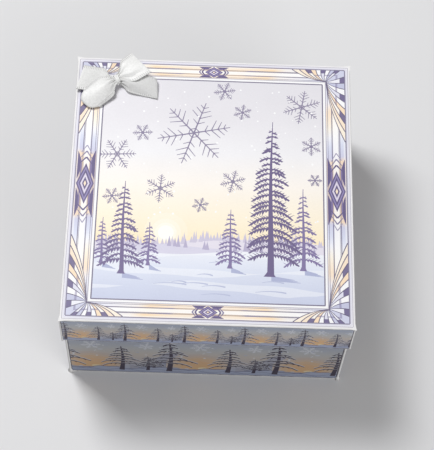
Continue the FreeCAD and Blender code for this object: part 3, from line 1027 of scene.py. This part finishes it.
def stage():
    """A wide pale floor that throws little light back, so the walls stay in soft shade."""
    look = Look("floor")
    ray = look.node("ShaderNodeLightPath")
    seen = look.math("MAXIMUM", ray.outputs["Is Camera Ray"], ray.outputs["Is Glossy Ray"])
    tone = look.blend(seen, (0.3, 0.3, 0.3), (0.74, 0.74, 0.75))
    look.set(Base_Color=tone, Roughness=0.85, Specular_IOR_Level=0.1)
    mesh = bpy.data.meshes.new("floor")
    rings, corners = 5, 64
    verts = [(0, 0, 0)]
    for ring in range(1, rings + 1):
        radius = FLOOR_RADIUS * (ring / rings) ** 2
        verts += [(x, y, 0) for x, y in circle(0, 0, radius, corners)]
    faces = [[0, 1 + k, 1 + (k + 1) % corners] for k in range(corners)]
    faces += [face[::-1] for face in ring_faces(1, rings, corners)]
    mesh.from_pydata(verts, [], faces)
    mesh.materials.append(look.material)
    floor = add_item("floor", mesh)


def lamp(name, place, target, size, power):
    """A square soft light aimed at a point. Metres and watts."""
    data = bpy.data.lights.new(name, "AREA")
    data.shape = "SQUARE"
    data.size = size
    data.energy = power
    item = add_item(name, data)
    item.location = place
    item.rotation_mode = "QUATERNION"
    item.rotation_quaternion = (Vector(target) - Vector(place)).to_track_quat("-Z", "Y")


def lights():
    """A lamp above, a weak one in front, and a sky that the camera sees brighter."""
    lamp("overhead", (-0.36, 0.36, 0.82), (0, 0, 0.04), 0.34, 7.0)
    lamp("front_fill", (0.58, -0.74, 0.35), (0, 0, 0.03), 0.7, 4.7)
    world = bpy.data.worlds.new("studio")
    world.use_nodes = True
    nodes, links = world.node_tree.nodes, world.node_tree.links
    ray = nodes.new("ShaderNodeLightPath")
    level = nodes.new("ShaderNodeMapRange")
    level.inputs["To Min"].default_value = 0.26
    level.inputs["To Max"].default_value = 0.8
    links.new(ray.outputs["Is Camera Ray"], level.inputs["Value"])
    back = nodes["Background"]
    back.inputs["Color"].default_value = (1, 1, 1, 1)
    links.new(level.outputs["Result"], back.inputs["Strength"])
    bpy.context.scene.world = world


def camera():
    """The photograph's camera."""
    data = bpy.data.cameras.new("camera")
    data.sensor_width = 36
    data.lens = CAMERA_LENS
    data.clip_start, data.clip_end = 0.01, 20
    item = add_item("camera", data)
    item.matrix_world = Matrix.Translation(CAMERA_PLACE) @ Matrix(CAMERA_TURN).to_4x4()
    bpy.context.scene.camera = item


# Putting it together


TIP_HEIGHT = 2.4


def folds(tray, half, low, high, worn, tip, material):
    """The worn white card along a tray's upright folds. The lower ends stick out as tips."""
    name = f"{tray}_folds"
    rng = random.Random(name)
    rings, corners = 24, 12
    verts, faces = [], []
    for x_side, y_side in ((-1, -1), (1, -1), (1, 1), (-1, 1)):
        first = len(verts)
        for i in range(rings):
            z = low + (high - low) * i / (rings - 1)
            radius = worn + rng.uniform(-0.02, 0.04)
            radius += tip * max(1 - (z - low) / TIP_HEIGHT, 0) ** 1.5
            centre = (x_side * (half[0] - 0.6 * worn), y_side * (half[1] - 0.6 * worn))
            verts += [(x, y, z) for x, y in circle(*centre, radius, corners)]
        faces += ring_faces(first, rings, corners)
        faces.append([first + k for k in range(corners)][::-1])
        faces.append([first + (rings - 1) * corners + k for k in range(corners)])
    mesh = bpy.data.meshes.new(name)
    mesh.from_pydata([tuple(c * MM for c in point) for point in verts], [], faces)
    mesh.polygons.foreach_set("use_smooth", [len(face) == 4 for face in faces])
    return add_piece(name, mesh, tray, material)


def walls(tray, half, low, high, tile_width, strength, material):
    """The print on a tray's four outer walls, a little short of the upright folds.

    Each wall starts at another place in the run of small pictures.
    """
    x, y = half
    wide, deep = x - BARE_FOLD[tray], y - BARE_FOLD[tray]
    out_x, out_y = x + PRINT_LIFT, y + PRINT_LIFT
    placed = (
        ("front", wide, 2.0, lambda u, v: Vector((u, -out_y, v)) * MM),
        ("right", deep, 9.0, lambda u, v: Vector((out_x, u, v)) * MM),
        ("back", wide, 15.0, lambda u, v: Vector((-u, out_y, v)) * MM),
        ("left", deep, 22.0, lambda u, v: Vector((-out_x, -u, v)) * MM),
    )
    for seed, (wall, reach, shift, place) in enumerate(placed):
        left, right = shift - reach, shift + reach
        panel = Panel(left, low, right, high, seed, strength)
        wall_print(panel, left, right, low, tile_width)
        panel.build(f"{tray}_print_{wall}", lambda u, v, p=place, s=shift: p(u - s, v),
                    tray, material)


def main():
    """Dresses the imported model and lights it."""
    camera()
    card, printed, satin = card_look(), print_look(), satin_look()
    for name in ("base_tray", "lid"):
        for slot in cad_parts[name].material_slots:
            slot.material = card

    x, y = (size - TOP_MARGIN for size in LID_HALF)
    top = Panel(-x, -y, x, y, 1)
    border(top)
    picture(top)
    top.build("lid_print_top", lambda u, v: Vector((u, v, LID_TOP + PRINT_LIFT)) * MM,
              "lid", printed)
    # The walls' print is darkened by its strength, more on the base than on the lid: painted shade.
    walls("lid", LID_HALF, LID_LOW + 0.15, LID_TOP - 0.5, tile_width=20.0, strength=0.88,
          material=printed)
    walls("base", BASE_HALF, 0.5, BASE_TOP - 0.1, tile_width=TILE_WIDTH, strength=0.7,
          material=printed)
    folds("lid", LID_HALF, LID_LOW + 0.02, LID_TOP - 0.05, worn=0.3, tip=0.1, material=card)
    folds("base", BASE_HALF, 0.02, 30.0, worn=0.38, tip=0.6, material=card)

    ribbon, length = ribbon_piece(satin)
    knot = knot_piece(satin)
    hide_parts("bow_ribbon")
    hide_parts("bow_knot")

    stage()
    lights()
    bpy.context.scene.view_settings.view_transform = "Standard"


main()
